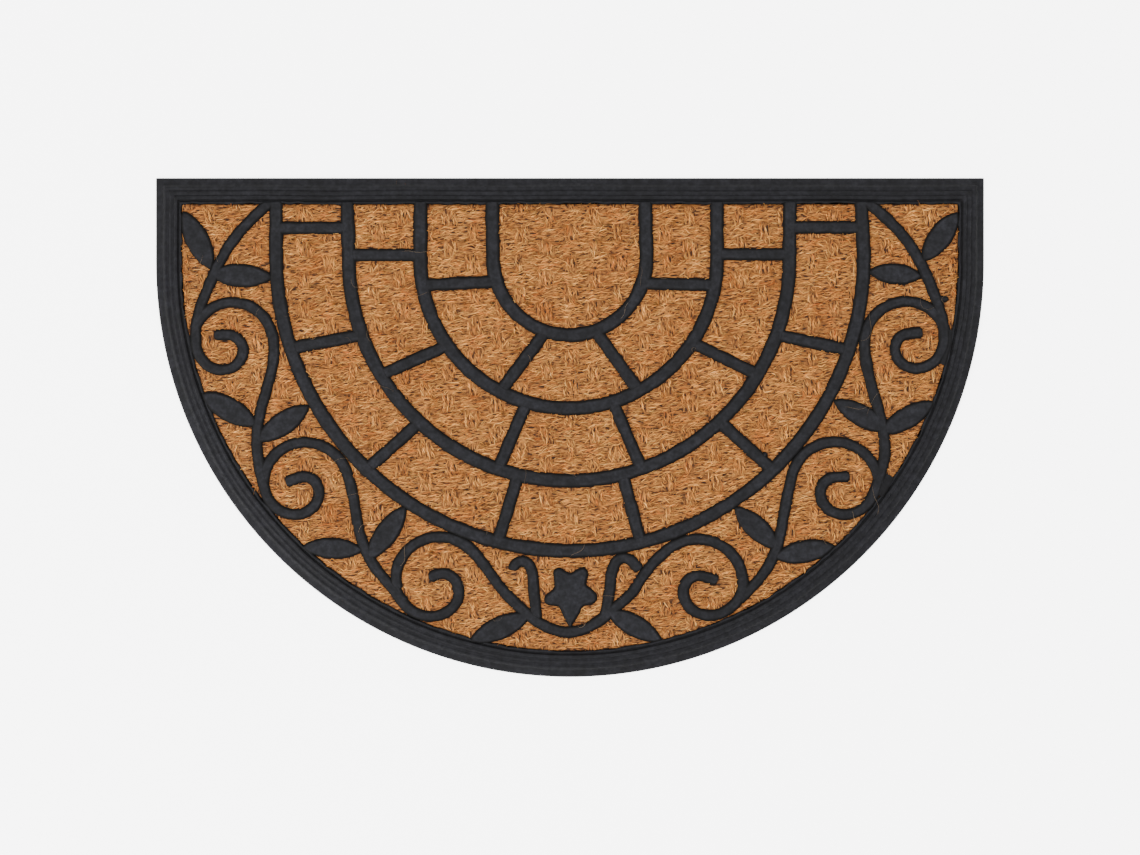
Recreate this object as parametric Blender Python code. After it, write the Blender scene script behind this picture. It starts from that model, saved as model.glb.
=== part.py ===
"""Half round doormat: a rubber moulding with raised tracery over one woven coir panel.

The mat lies flat on XY with its underside at z = 0. Its straight edge faces +Y and its round edge -Y.
Plan sizes and heights below are in millimetres, and every mesh is written in metres.
"""
import math
from collections import namedtuple

import bmesh
import bpy
import numpy as np
from mathutils import Vector
from mathutils.geometry import delaunay_2d_cdt

for old in list(bpy.data.objects):
    bpy.data.objects.remove(old, do_unlink=True)

MM = 0.001
WELD_DISTANCE = 1e-4
SHORTEST_EDGE = 0.25
SMALLEST_CELL = 2.0
SHARP_ANGLE = math.radians(25)

# Outline: a half circle under a band of straight sides, 750 wide and 452 deep.
OUTER_RADIUS = 375.0
SIDE_LENGTH = 77.0
TOP_EDGE_Y = (OUTER_RADIUS + SIDE_LENGTH) / 2
ROUND_CENTRE_Y = TOP_EDGE_Y - SIDE_LENGTH
CORNER_RADIUS = 1.0
ROUND_STEPS = 64
CORNER_STEPS = 3

# Heights, from the floor up.
BACKING_TOP = 2.0
FIT_GAP = 0.3
COIR_PRESSED = 6.4
COIR_TOP = 7.0
RIB_BOTTOM = COIR_PRESSED + FIT_GAP
RIB_TOP = 8.0

# Border section, from the outer edge to the wall of the coir pocket: inset from the edge, height.
BORDER_SECTION = (
    (0.0, 2.4),
    (0.6, 3.0),
    (4.6, 3.6),
    (6.6, 3.8),
    (7.8, 5.6),
    (9.4, 5.8),
    (10.5, 4.9),
    (11.8, 4.9),
    (12.8, 6.8),
    (14.4, 7.0),
    (15.3, 6.1),
    (16.3, 6.1),
    (17.1, 7.9),
    (18.6, 8.0),
    (19.4, 4.8),
    (20.6, 4.8),
    (21.4, 7.2),
    (23.2, 7.3),
    (24.0, 6.4),
)
POCKET_INSET = 24.0
LIP_MIDDLE_INSET = 22.4

# Tracery: widths at the foot of each kind of rib, and how far its sides lean in up to the flat top.
ARCH_WIDTH = 12.8
BAR_WIDTH = 11.7
VINE_WIDTH = 10.4
SIDE_LEAN = 1.9
FOOT_HEIGHT = 0.4
CHORD_ERROR = 0.18

# Coir panel: its rounded rim, and the slope from the pressed channel beside a rib up to the full height.
COIR_RIM = 0.6
COIR_SLOPE = 2.7

# The four arches are nested U shapes. Their legs and the bars keep to one centre, and the round part of
# each arch is a little off it: shift of its centre across and up, and of its radius.
ARCH_CENTRE = (-1.2, 151.9)
ARCH_RADII = (69.2, 134.0, 200.2, 264.6)
ARCH_SHIFTS = ((1.0, 1.1, 0.2), (0.0, -0.5, 0.1), (0.4, -1.0, -1.1), (1.2, 2.3, 1.1))

# Bars of each ring between two arches: polar angle of the middle, direction in which the bar runs.
Bar = namedtuple("Bar", "ring polar_deg run_deg")
BARS = (
    Bar(0, -167.7, 2.7),
    Bar(0, -114.2, 53.2),
    Bar(0, -64.4, -54.3),
    Bar(0, -12.7, -1.3),
    Bar(1, -146.9, 24.0),
    Bar(1, -107.7, 66.6),
    Bar(1, -71.6, -66.6),
    Bar(1, -32.4, -25.9),
    Bar(2, -161.3, 10.6),
    Bar(2, -133.3, 41.9),
    Bar(2, -103.7, 73.1),
    Bar(2, -75.8, -75.1),
    Bar(2, -46.4, -42.3),
    Bar(2, -18.8, -12.0),
)
# Level bars between the straight legs of two arches: side (-1 left, 1 right), height in plan.
LevelBar = namedtuple("LevelBar", "ring side y")
LEVEL_BARS = (
    LevelBar(1, -1, 156.0),
    LevelBar(1, 1, 156.6),
    LevelBar(2, -1, 180.5),
    LevelBar(2, 1, 180.9),
)

# Vines. A turn is a spiral about its own centre. A knot is a point with the direction of travel there.
Turn = namedtuple("Turn", "x y start_radius end_radius start_deg end_deg")
Knot = namedtuple("Knot", "x y heading_deg")
RINGS = {
    "left": (
        Turn(-305.2, 77.2, 35.8, 36.2, 160, 25),
        Turn(-242.3, -52.2, 34.7, 42.2, 176, 15),
        Turn(-122.1, -139.9, 34.2, 44.1, 190, 40),
    ),
    "right": (
        Turn(303.8, 76.8, 37.1, 37.4, 15, 180),
        Turn(238.2, -53.0, 41.6, 38.6, 3, 165),
        Turn(117.8, -143.0, 38.2, 43.4, -10, 125),
    ),
}
# A curl is a spiral that closes in faster at first, and ends in a short straight tail.
CURL_POWER = 1.35
Curl = namedtuple("Curl", "turn tail_length tail_deg")
CURLS = {
    "left": (
        Curl(Turn(-310.6, 72.6, 27.0, 11.2, 180, 447), 11.8, 180),
        Curl(Turn(-242.9, -54.4, 32.8, 9.4, 185, 460), 13.4, 200),
        Curl(Turn(-118.3, -142.4, 40.2, 10.0, 180, 450), 10.0, 200),
    ),
    "right": (
        Curl(Turn(308.5, 74.8, 29.1, 10.3, 0, -262), 11.8, 5),
        Curl(Turn(241.9, -54.3, 33.9, 9.4, -5, -262), 12.4, 5),
        Curl(Turn(119.1, -143.1, 38.0, 8.7, 0, -275), 14.5, -16),
    ),
}
WAISTS = {
    "left": (Knot(-283.1, -9.5, -90), Knot(-192.3, -84.8, -80), Knot(-57.6, -150.5, -46)),
    "right": (Knot(284.8, -20.4, -90), Knot(191.8, -88.4, -99), Knot(59.5, -144.5, -121)),
}
LAST_VINE_ENDS = {
    "left": (Knot(-171.9, -132.0, -50), Knot(-150.0, -158.0, -48)),
    "right": (Knot(173.0, -134.5, -128), Knot(153.0, -155.5, -138)),
}
STEMS = {
    "left": (Knot(-269.0, 206.0, -138), Knot(-307.9, 164.6, -124), Knot(-328.8, 122.9, -113)),
    "right": (Knot(266.0, 206.5, -40), Knot(307.0, 165.5, -56), Knot(330.6, 117.4, -70)),
}
CUP = (Knot(-42.2, -165.5, -42), Knot(-1.4, -185.0, 0), Knot(39.0, -164.5, 42))
HOOKS = (
    (Knot(-30.3, -172.0, 95), Knot(-33.4, -137.0, 93), Knot(-42.5, -121.0, 172), Knot(-52.0, -129.2, 262)),
    (Knot(30.5, -174.0, 75), Knot(35.8, -147.5, 81), Knot(49.0, -118.0, 0), Knot(63.5, -129.0, -45)),
)

# Webs: two bands that fill the narrow gaps between a right vine and the border, and two nubs on ribs.
Web = namedtuple("Web", "points width")
WEBS = (
    Web(((343.6, 88.5), (341.6, 74.0), (336.8, 57.0)), 8.0),
    Web(((289.6, -43.5), (285.0, -51.5), (279.0, -60.5)), 11.0),
    Web(((333.0, 116.2), (342.2, 116.2)), 6.5),
    Web(((172.5, -28.5), (178.0, -22.5)), 6.0),
)

# Leaves: point at the stem, tip, width across the middle. Both ends are a little blunter than a lens.
LEAF_BLUNTNESS = 0.75
LEAF_END_INSET = 1.4
LEAF_STEPS = 12
Leaf = namedtuple("Leaf", "base_x base_y tip_x tip_y width")
LEAVES = (
    Leaf(-323.6, 142.7, -349.8, 195.7, 21.9),
    Leaf(-326.5, 139.2, -268.3, 135.7, 21.4),
    Leaf(-282.3, 1.7, -333.5, 31.0, 22.1),
    Leaf(-283.1, -12.7, -235.9, 19.8, 21.5),
    Leaf(-186.5, -110.7, -242.4, -107.9, 19.5),
    Leaf(-183.4, -119.9, -148.3, -70.9, 21.1),
    Leaf(-35.7, -169.1, -90.8, -193.2, 21.2),
    Leaf(318.7, 150.2, 351.0, 194.8, 21.8),
    Leaf(318.7, 136.6, 269.7, 141.0, 19.4),
    Leaf(289.5, -3.5, 238.4, 24.8, 20.2),
    Leaf(280.4, -5.6, 329.4, 23.3, 20.4),
    Leaf(184.2, -117.3, 239.7, -107.0, 21.1),
    Leaf(189.4, -110.1, 148.8, -71.8, 20.7),
    Leaf(33.1, -165.3, 83.1, -192.9, 20.3),
)

# Flower, clockwise: reach, direction and half width of each petal's round tip, then the notch after it.
FLOWER_CENTRE = (0.3, -150.5)
TIP_SHOULDER = 0.92
Petal = namedtuple("Petal", "reach direction_deg half_spread_deg notch_reach notch_deg")
PETALS = (
    Petal(27.0, 60.0, 12.0, 16.8, 31.0),
    Petal(24.8, -9.0, 14.0, 16.6, -46.0),
    Petal(31.0, -90.0, 4.0, 15.6, -132.0),
    Petal(24.2, -165.0, 13.0, 15.4, -203.0),
    Petal(26.6, -241.0, 10.5, 18.8, -270.0),
)


def heading_vector(degrees):
    """Unit vector that points at the given angle."""
    angle = math.radians(degrees)
    return np.array([math.cos(angle), math.sin(angle)])


def turn_points(turn, power=1.0):
    """Points of a spiral spaced by the chord error. At power 1 its radius changes evenly with its angle."""
    sweep = abs(math.radians(turn.end_deg - turn.start_deg))
    step = math.sqrt(8 * CHORD_ERROR / max(turn.start_radius, turn.end_radius))
    count = max(3, math.ceil(sweep / step) + 1)
    share = np.linspace(0, 1, count)
    angle = np.radians(turn.start_deg + (turn.end_deg - turn.start_deg) * share)
    radius = turn.end_radius + (turn.start_radius - turn.end_radius) * (1 - share) ** power
    return np.column_stack([turn.x + radius * np.cos(angle), turn.y + radius * np.sin(angle)])


def bend(start, start_deg, end, end_deg):
    """Cubic between two points. Its handles make it a round arc where both ends turn alike."""
    start, end = np.array(start, float), np.array(end, float)
    chord = end - start
    length = float(np.hypot(*chord))
    chord_deg = math.degrees(math.atan2(chord[1], chord[0]))
    turns = [(d - chord_deg + 180) % 360 - 180 for d in (start_deg, end_deg)]
    half_turn = math.radians(abs(turns[0]) + abs(turns[1])) / 2
    handle = length / (3 * math.cos(half_turn / 2) ** 2)
    first = start + handle * heading_vector(start_deg)
    second = end - handle * heading_vector(end_deg)
    count = max(3, math.ceil(length * math.sqrt(half_turn / (8 * CHORD_ERROR * max(length, 1)))) + 2)
    t = np.linspace(0, 1, count)[:, None]
    return (1 - t) ** 3 * start + 3 * t * (1 - t) ** 2 * first + 3 * t * t * (1 - t) * second + t ** 3 * end


def run_through(knots):
    """One smooth line through a row of knots."""
    pieces = [
        bend((a.x, a.y), a.heading_deg, (b.x, b.y), b.heading_deg)[:-1]
        for a, b in zip(knots[:-1], knots[1:])
    ]
    return np.vstack(pieces + [[(knots[-1].x, knots[-1].y)]])


def end_knot(points, at_start):
    """The knot at one end of a line, with the direction of travel there."""
    first, second = (points[0], points[1]) if at_start else (points[-2], points[-1])
    place = first if at_start else second
    step = second - first
    return Knot(place[0], place[1], math.degrees(math.atan2(step[1], step[0])))


def curl_points(curl):
    """A curl: a spiral that ends in a short straight tail."""
    points = turn_points(curl.turn, CURL_POWER)
    tail = points[-1] + curl.tail_length * heading_vector(curl.tail_deg)
    return np.vstack([points, [tail]])


def vine_lines():
    """Centre lines of all vines: stems into curls, rings into curls, and the last rings into the cup."""
    lines = []
    for side in ("left", "right"):
        rings = [turn_points(turn) for turn in RINGS[side]]
        curls = [curl_points(curl) for curl in CURLS[side]]
        stem = run_through(STEMS[side] + (end_knot(curls[0], True),))
        lines.append(np.vstack([stem[:-1], curls[0]]))
        vine = run_through((end_knot(rings[0], False), WAISTS[side][0], end_knot(curls[1], True)))
        lines.append(np.vstack([rings[0][:-1], vine[:-1], curls[1]]))
        vine = run_through((end_knot(rings[1], False), WAISTS[side][1]) + LAST_VINE_ENDS[side])
        lines.append(np.vstack([rings[1][:-1], vine]))
        lines.append(curls[2])
        cup_end = CUP[0] if side == "left" else Knot(CUP[-1].x, CUP[-1].y, CUP[-1].heading_deg + 180)
        tail = run_through((end_knot(rings[2], False), WAISTS[side][2], cup_end))
        lines.append(np.vstack([rings[2][:-1], tail]))
    lines.append(run_through(CUP))
    lines.extend(run_through(hook) for hook in HOOKS)
    return lines


def arch_lines():
    """Centre lines of the four U shaped arches, whose legs end in the lip of the border."""
    lines = []
    leg_top = TOP_EDGE_Y - LIP_MIDDLE_INSET
    for radius, (across, up, wider) in zip(ARCH_RADII, ARCH_SHIFTS):
        x, y = ARCH_CENTRE[0] + across, ARCH_CENTRE[1] + up
        round_part = turn_points(Turn(x, y, radius + wider, radius + wider, 180, 360))
        left_top = (ARCH_CENTRE[0] - radius, leg_top)
        right_top = (ARCH_CENTRE[0] + radius, leg_top)
        lines.append(np.vstack([[left_top], round_part, [right_top]]))
    return lines


def bar_lines():
    """Centre lines of the bars, each from one arch's centre line to the next."""
    lines = []
    for bar in BARS:
        inner, outer = ARCH_RADII[bar.ring], ARCH_RADII[bar.ring + 1]
        middle = np.array(ARCH_CENTRE) + heading_vector(bar.polar_deg) * (inner + outer) / 2
        lean = math.radians(bar.run_deg - bar.polar_deg)
        half = heading_vector(bar.run_deg) * (outer - inner) / 2 / abs(math.cos(lean))
        lines.append(np.array([middle - half, middle + half]))
    for bar in LEVEL_BARS:
        inner, outer = ARCH_RADII[bar.ring], ARCH_RADII[bar.ring + 1]
        ends = [ARCH_CENTRE[0] + bar.side * radius for radius in (inner, outer)]
        lines.append(np.array([(x, bar.y) for x in ends]))
    return lines


def stroke(line, width, end_trim):
    """Closed outline of a band of even width along a line, its square ends trimmed back a little."""
    line = line.copy()
    first = line[1] - line[0]
    last = line[-1] - line[-2]
    line[0] += first / np.hypot(*first) * end_trim
    line[-1] -= last / np.hypot(*last) * end_trim
    along = np.diff(line, axis=0)
    along /= np.hypot(along[:, 0], along[:, 1])[:, None]
    normals = np.column_stack([-along[:, 1], along[:, 0]])
    corner = np.vstack([normals[:1], normals[:-1] + normals[1:], normals[-1:]])
    corner /= np.hypot(corner[:, 0], corner[:, 1])[:, None]
    before = np.vstack([normals[:1], normals])
    mitre = width / 2 / np.sum(corner * before, axis=1)[:, None]
    return np.vstack([line - corner * mitre, (line + corner * mitre)[::-1]])


def leaf_outline(leaf, inset):
    """Half width as a power of a parabola between the stem and the tip, drawn in by an inset all round."""
    base = np.array([leaf.base_x, leaf.base_y])
    tip = np.array([leaf.tip_x, leaf.tip_y])
    length = np.hypot(*(tip - base))
    axis = (tip - base) / length
    across = np.array([-axis[1], axis[0]])
    half_length = length / 2 - LEAF_END_INSET * inset
    share = -np.cos(np.linspace(0, math.pi, LEAF_STEPS + 1))
    away = (leaf.width / 2 - inset) * np.maximum(0, 1 - share ** 2) ** LEAF_BLUNTNESS
    spine = (base + tip) / 2 + half_length * share[:, None] * axis
    lower = spine - away[:, None] * across
    upper = (spine + away[:, None] * across)[::-1]
    return np.vstack([lower[:-1], upper[:-1]])


def flower_outline(inset):
    """Five petals: each has a rounded tip, and a notch parts it from the next."""
    centre = np.array(FLOWER_CENTRE)
    points = []
    for petal in PETALS:
        reach = petal.reach - inset
        for side, share in ((1.0, TIP_SHOULDER), (0.4, 1.0), (-0.4, 1.0), (-1.0, TIP_SHOULDER)):
            direction = heading_vector(petal.direction_deg + side * petal.half_spread_deg)
            points.append(centre + direction * reach * share)
        points.append(centre + heading_vector(petal.notch_deg) * (petal.notch_reach - inset))
    return np.array(points[::-1])


def tracery_outlines(inset):
    """Outlines of every rib, leaf and the flower, drawn in from their feet and ending in the lip."""
    outlines = [stroke(line, ARCH_WIDTH - 2 * inset, inset) for line in arch_lines()]
    outlines += [stroke(line, BAR_WIDTH - 2 * inset, inset) for line in bar_lines()]
    outlines += [stroke(line, VINE_WIDTH - 2 * inset, inset) for line in vine_lines()]
    outlines += [stroke(np.array(web.points), web.width - 2 * inset, inset) for web in WEBS]
    outlines += [leaf_outline(leaf, inset) for leaf in LEAVES]
    outlines.append(flower_outline(inset))
    for outline in outlines:
        outline[:, 1] = np.minimum(outline[:, 1], TOP_EDGE_Y - LIP_MIDDLE_INSET - inset)
    return outlines


def mat_outline(inset):
    """The half round outline at an inset from the outer edge, anticlockwise from the right side."""
    side_x = OUTER_RADIUS - inset
    top_y = TOP_EDGE_Y - inset
    corner = np.array([side_x - CORNER_RADIUS, top_y - CORNER_RADIUS])
    quarter = np.radians(np.linspace(0, 90, CORNER_STEPS + 1))
    rounded = CORNER_RADIUS * np.column_stack([np.cos(quarter), np.sin(quarter)])
    right = corner + rounded
    left = np.column_stack([-right[::-1, 0], right[::-1, 1]])
    angle = np.radians(np.linspace(180, 360, ROUND_STEPS + 1))
    half_circle = np.column_stack([side_x * np.cos(angle), ROUND_CENTRE_Y + side_x * np.sin(angle)])
    return np.vstack([right, left, half_circle])


def inside(points, loops):
    """For each point, whether it lies inside the region that closed loops bound, by crossing count."""
    start = np.vstack(loops)
    end = np.vstack([np.roll(loop, -1, axis=0) for loop in loops])
    rise = end[:, 1] - start[:, 1]
    above_start = start[None, :, 1] > points[:, 1, None]
    above_end = end[None, :, 1] > points[:, 1, None]
    safe_rise = np.where(rise == 0, 1.0, rise)
    share = (points[:, 1, None] - start[None, :, 1]) / safe_rise
    cross_x = start[None, :, 0] + share * (end[:, 0] - start[:, 0])
    crosses = (above_start != above_end) & (cross_x > points[:, 0, None])
    return crosses.sum(axis=1) % 2 == 1


def boundary_loops(corners, triangles):
    """Closed loops round a set of anticlockwise triangles, with the triangles on the left."""
    directed = {(a, b) for tri in triangles for a, b in zip(tri, tri[1:] + tri[:1])}
    following = {}
    for a, b in sorted(directed):
        if (b, a) not in directed:
            following.setdefault(a, []).append(b)
    loops = []
    while following:
        first = min(following)
        loop = []
        here = first
        while not loop or here != first:
            loop.append(here)
            ways = following[here]
            onward = ways.pop()
            if not ways:
                del following[here]
            here = onward
        loops.append(corners[loop])
    return loops


def union_loops(outlines):
    """Boundary loops of the union of closed outlines, outer ones anticlockwise and holes clockwise."""
    points = []
    faces = []
    for outline in outlines:
        faces.append(list(range(len(points), len(points) + len(outline))))
        points.extend(Vector(point) for point in outline)
    corners, _, triangles, _, _, _ = delaunay_2d_cdt(points, [], faces, 0, WELD_DISTANCE)
    corners = np.array([corner[:] for corner in corners])
    middles = corners[np.array(triangles)].mean(axis=1)
    covered = np.any([inside(middles, [outline]) for outline in outlines], axis=0)
    kept = [tri for tri, keep in zip(triangles, covered) if keep]
    loops = boundary_loops(corners, kept)
    return [thinned(loop) for loop in loops if abs(loop_area(loop)) > SMALLEST_CELL]


def loop_area(loop):
    """Signed area of a closed loop."""
    following = np.roll(loop, -1, axis=0)
    return float(np.sum(loop[:, 0] * following[:, 1] - following[:, 0] * loop[:, 1])) / 2


def thinned(loop):
    """The loop without points that crowd the one before them."""
    kept = [loop[0]]
    for point in loop[1:]:
        if np.hypot(*(point - kept[-1])) > SHORTEST_EDGE and np.hypot(*(point - loop[0])) > SHORTEST_EDGE:
            kept.append(point)
    return np.array(kept)


def triangulated(loops, region):
    """Points and anticlockwise triangles of the region that some loops bound, with all loops as edges."""
    points = [Vector(point) for loop in loops for point in loop]
    edges = []
    first = 0
    for loop in loops:
        numbers = list(range(first, first + len(loop)))
        edges.extend(zip(numbers, numbers[1:] + numbers[:1]))
        first += len(loop)
    corners, _, triangles, sources, _, _ = delaunay_2d_cdt(points, edges, [], 0, WELD_DISTANCE)
    corners = np.array([corner[:] for corner in corners])
    triangles = np.array(triangles)
    middles = corners[triangles].mean(axis=1)
    source = np.array([min(group) if group else -1 for group in sources])
    return corners, triangles[inside(middles, region)], source


def used_only(triangles, points):
    """The triangles and points, without points that no triangle uses."""
    used, numbers = np.unique(triangles, return_inverse=True)
    return numbers.reshape(-1, 3), points[used]


def mesh_object(name, points, faces, finish):
    """One object from points in millimetres and its faces, with its outward side checked."""
    mesh = bpy.data.meshes.new(name)
    mesh.from_pydata((np.asarray(points) * MM).tolist(), [], faces)
    mesh.materials.append(finish)
    shape = bmesh.new()
    shape.from_mesh(mesh)
    bmesh.ops.recalc_face_normals(shape, faces=shape.faces[:])
    shape.to_mesh(mesh)
    shape.free()
    mesh.shade_smooth()
    mesh.set_sharp_from_angle(angle=SHARP_ANGLE)
    obj = bpy.data.objects.new(name, mesh)
    bpy.context.collection.objects.link(obj)
    return obj


def lofted(name, sections, finish):
    """A closed body through outlines of equal point count, each an outline with its height."""
    count = len(sections[0][0])
    points = [(x, y, z) for outline, z in sections for x, y in outline]
    faces = [list(range(count))[::-1], [len(points) - count + i for i in range(count)]]
    for level in range(len(sections) - 1):
        for i in range(count):
            j = (i + 1) % count
            low, high = level * count, (level + 1) * count
            faces.append([low + i, low + j, high + j, high + i])
    return mesh_object(name, points, faces, finish)


def tracery(name, finish):
    """The raised ribs: one closed body with an upright foot, sides that lean in, and a flat top."""
    feet = union_loops(tracery_outlines(0.0))
    tops = union_loops(tracery_outlines(SIDE_LEAN))
    foot_count = sum(len(loop) for loop in feet)
    corners, upper, source = triangulated(feet + tops, feet)
    heights = np.where(source < foot_count, RIB_BOTTOM + FOOT_HEIGHT, RIB_TOP)
    under_corners, under, _ = triangulated(feet, feet)
    bottoms = np.full(len(under_corners), RIB_BOTTOM)
    upper_points = np.column_stack([corners, heights])
    under_points = np.column_stack([under_corners, bottoms])
    return closed_shell(name, upper_points, upper, under_points, under, feet, finish)


def closed_shell(name, upper_points, upper, under_points, under, rims, finish):
    """One closed body from an upper and a lower sheet whose rims have the same plan."""
    count = len(upper_points)
    faces = upper.tolist() + (under[:, ::-1] + count).tolist()
    number_above = {tuple(point[:2]): i for i, point in enumerate(upper_points)}
    number_below = {tuple(point[:2]): i + count for i, point in enumerate(under_points)}
    for loop in rims:
        rim = [tuple(point) for point in loop]
        for here, onward in zip(rim, rim[1:] + rim[:1]):
            faces.append([number_below[here], number_below[onward], number_above[onward], number_above[here]])
    return mesh_object(name, np.vstack([upper_points, under_points]), faces, finish)


def material(name, colour, roughness):
    """A Principled material with one base colour."""
    made = bpy.data.materials.new(name)
    made.use_nodes = True
    shader = made.node_tree.nodes["Principled BSDF"]
    shader.inputs["Base Color"].default_value = (*colour, 1.0)
    shader.inputs["Roughness"].default_value = roughness
    shader.inputs["Metallic"].default_value = 0.0
    made.diffuse_color = (*colour, 1.0)
    return made


def rubber_moulding():
    """Backing, stepped border and tracery as one moulded piece."""
    rubber = material("moulded_black_rubber", (0.024, 0.024, 0.027), 0.62)
    sections = [(mat_outline(0.0), 0.0)]
    sections += [(mat_outline(inset), height) for inset, height in BORDER_SECTION]
    sections.append((mat_outline(POCKET_INSET), BACKING_TOP))
    tray = lofted("rubber_moulding", sections, rubber)
    ribs = tracery("tracery_shape", rubber)
    ribs.hide_render = True
    ribs.display_type = "WIRE"
    union = tray.modifiers.new("tracery", "BOOLEAN")
    union.operation = "UNION"
    union.solver = "EXACT"
    union.object = ribs
    return tray


def inset_depth(points):
    """How far each point lies inside the mat's outer edge."""
    from_round = OUTER_RADIUS - np.hypot(points[:, 0], np.minimum(points[:, 1] - ROUND_CENTRE_Y, 0))
    return np.minimum(from_round, TOP_EDGE_Y - points[:, 1])


def coir_panel():
    """The woven coir: one panel in the pocket, pressed down under the ribs and risen between them."""
    coir = material("woven_natural_coir", (0.407, 0.184, 0.067), 0.95)
    edge = POCKET_INSET + FIT_GAP
    rim = edge + COIR_RIM
    outer = mat_outline(edge)
    pressed = union_loops(tracery_outlines(-FIT_GAP))
    risen = union_loops(tracery_outlines(-FIT_GAP - COIR_SLOPE))
    within = union_loops(tracery_outlines(-FIT_GAP - COIR_SLOPE + SHORTEST_EDGE))
    loops = [outer, mat_outline(rim), mat_outline(rim + COIR_SLOPE)] + pressed + risen
    corners, upper, source = triangulated(loops, [outer])
    full = (inset_depth(corners) > rim + COIR_SLOPE - SHORTEST_EDGE) & ~inside(corners, within)
    heights = np.where(full, COIR_TOP, COIR_PRESSED)
    on_edge = (source >= 0) & (source < len(outer))
    heights = np.where(on_edge, COIR_PRESSED - COIR_RIM, heights)
    rims = boundary_loops(corners, upper.tolist())
    upper, upper_points = used_only(upper, np.column_stack([corners, heights]))
    under_corners, under, _ = triangulated(rims, rims)
    bottoms = np.full(len(under_corners), BACKING_TOP + FIT_GAP)
    under_points = np.column_stack([under_corners, bottoms])
    return closed_shell("coir_panel", upper_points, upper, under_points, under, rims, coir)


rubber_moulding()
coir_panel()
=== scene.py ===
"""Half round rubber and coir doormat, seen square from above on a pale floor."""
import math

import bpy
import numpy as np
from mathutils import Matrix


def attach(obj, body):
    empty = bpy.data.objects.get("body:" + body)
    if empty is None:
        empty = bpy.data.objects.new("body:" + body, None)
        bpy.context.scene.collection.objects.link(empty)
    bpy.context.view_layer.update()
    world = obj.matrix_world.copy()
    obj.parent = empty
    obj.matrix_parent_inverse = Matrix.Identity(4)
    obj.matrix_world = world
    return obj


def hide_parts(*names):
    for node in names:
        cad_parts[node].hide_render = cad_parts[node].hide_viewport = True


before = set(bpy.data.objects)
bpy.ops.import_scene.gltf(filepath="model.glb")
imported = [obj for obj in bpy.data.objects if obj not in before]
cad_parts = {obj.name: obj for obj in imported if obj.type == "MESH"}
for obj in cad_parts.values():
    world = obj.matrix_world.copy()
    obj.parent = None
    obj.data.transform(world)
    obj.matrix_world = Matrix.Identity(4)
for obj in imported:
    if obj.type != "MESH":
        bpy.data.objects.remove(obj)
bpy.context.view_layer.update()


# Border and backing. The real one is black rubber pressed in a heated mould: a thin backing whose rim
# rises in rounded steps, with ridges and grooves that run round it and a lip that holds the coir.
MM = 0.001  # sizes are in millimetres, and piece() turns them to metres
OUTER_RADIUS = 375.0
TOP_EDGE_Y = 226.0
ROUND_CENTRE_Y = 149.0
CORNER_RADIUS = 1.0
OUTLINE_STEP = 3.9  # between stations of the outline
BACKING_TOP = 2.0
POCKET_INSET = 24.0
LIP_INSET = 20.5  # the lip's own wander begins here
RIM_WANDER, LIP_WANDER, RIM_UNEVEN = 0.3, 0.8, 0.12  # sideways twice, then in height
SECTION_STEP = 0.46
SECTION_BLUR = 0.45  # either way; it rounds the section's corners
BACKING_MIDDLE = np.array([0.0, 60.0, 0.0])
BORDER_SECTION = np.array([  # inset, height
    (0.0, 1.6), (0.3, 2.5), (0.9, 3.0), (4.6, 3.6), (6.1, 3.9), (8.1, 5.6), (9.4, 5.8), (10.5, 5.2),
    (11.5, 5.3), (13.0, 6.8), (14.4, 7.0), (15.3, 6.4), (16.0, 6.5), (17.3, 7.9), (19.9, 8.0),
    (20.5, 6.0), (21.2, 6.0), (21.7, 7.2), (23.3, 7.3), (23.9, 6.6),
])
BORDER_UNSHADED = np.array([  # inset, share of the flat top's grey; less is painted shade in grooves, on sides and at the lip's step
    (0.0, 0.68), (0.6, 0.76), (5.2, 0.72), (6.5, 0.56), (7.6, 0.56), (8.6, 0.72), (10.6, 0.72),
    (12.3, 0.56), (13.4, 0.72), (15.6, 0.72), (16.7, 0.56), (17.6, 0.72), (19.7, 0.68), (20.4, 0.2),
    (21.2, 0.2), (21.8, 0.64), (22.9, 0.72), (23.4, 0.32), (24.0, 0.08),
])


def linear(hex_colour):
    """sRGB hex colour as linear red, green, blue and alpha."""
    srgb = np.array([int(hex_colour[i:i + 2], 16) for i in (1, 3, 5)]) / 255
    rgb = np.where(srgb <= 0.04045, srgb / 12.92, ((srgb + 0.055) / 1.055) ** 2.4)
    return (*rgb.tolist(), 1.0)


def add(tree, kind, links=None, **settings):
    """One node with its settings; links maps an input's name or number to a socket or a value."""
    node = tree.nodes.new(kind)
    for name, value in settings.items():
        setattr(node, name, value)
    for key, value in (links or {}).items():
        if isinstance(value, bpy.types.NodeSocket):
            tree.links.new(value, node.inputs[key])
        else:
            node.inputs[key].default_value = value
    return node


def ramp(tree, factor, stops):
    """Colour ramp through (position, hex) stops."""
    node = add(tree, "ShaderNodeValToRGB", {"Fac": factor})
    for element, (place, colour) in zip(node.color_ramp.elements, stops):
        element.position = place
        element.color = linear(colour)
    for place, colour in stops[2:]:
        node.color_ramp.elements.new(place).color = linear(colour)
    return node.outputs["Color"]


def new_material(name):
    """Empty node material with its Principled shader."""
    made = bpy.data.materials.new(name)
    made.use_nodes = True
    return made, made.node_tree, made.node_tree.nodes["Principled BSDF"]


def grid_quads(rows, columns, closed=False):
    """Quads between neighbours of a grid that is numbered row by row; closed rows wrap round."""
    i = np.arange(rows - 1)[:, None] * columns
    j = np.arange(columns if closed else columns - 1)[None, :]
    right = (j + 1) % columns
    corners = [i + j, i + right, i + columns + right, i + columns + j]
    return np.stack(corners, axis=-1).reshape(-1, 4)


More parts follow.
